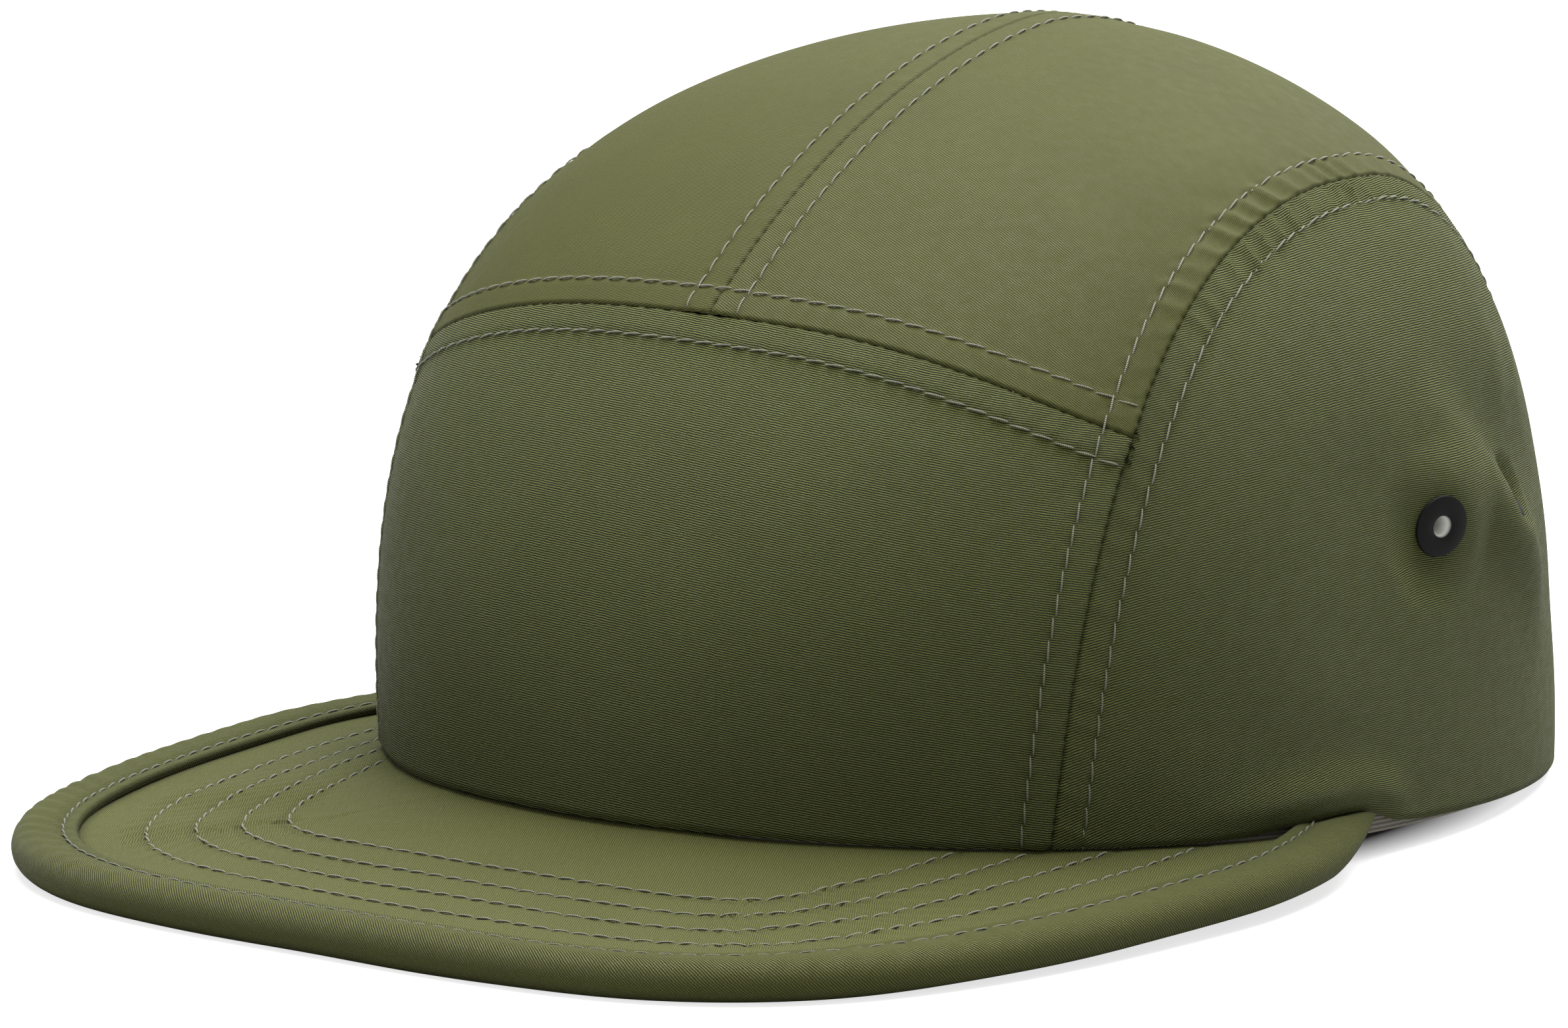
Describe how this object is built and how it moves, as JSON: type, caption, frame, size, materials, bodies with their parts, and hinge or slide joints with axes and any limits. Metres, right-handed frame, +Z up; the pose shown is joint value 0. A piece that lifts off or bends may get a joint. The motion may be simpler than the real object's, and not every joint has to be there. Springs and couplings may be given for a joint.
{
  "type": "five panel cap",
  "caption": "Soft cap with a front panel, side and top panels, a flat brim with a padded edge, eyelets, a sweatband and a back strap.",
  "frame": {"origin": "on the surface that the cap rests on, under the middle of its box", "axes": "+X to the wearer's left, -Y to the front over the brim, +Z up"},
  "size_m": [0.2022, 0.2612, 0.1225],
  "materials": {
    "shell_cloth": "fine ribbed olive nylon, soft sheen",
    "band_twill": "grey-beige cotton twill, matte",
    "strap_web": "woven webbing, matte",
    "eyelet_metal": "matte black paint",
    "clasp_plastic": "fine-grained black plastic"
  },
  "bodies": {
    "root": {"front_panel": "shell_cloth", "top_panel_left": "shell_cloth", "top_panel_right": "shell_cloth", "side_panel_left": "shell_cloth", "side_panel_right": "shell_cloth", "brim": "shell_cloth", "brim_binding": "shell_cloth", "eyelet_left_front": "eyelet_metal", "eyelet_left_rear": "eyelet_metal", "eyelet_right_front": "eyelet_metal", "eyelet_right_rear": "eyelet_metal", "sweatband": "band_twill", "back_strap": "strap_web", "strap_clasp": "clasp_plastic"}
  },
  "joints": []
}
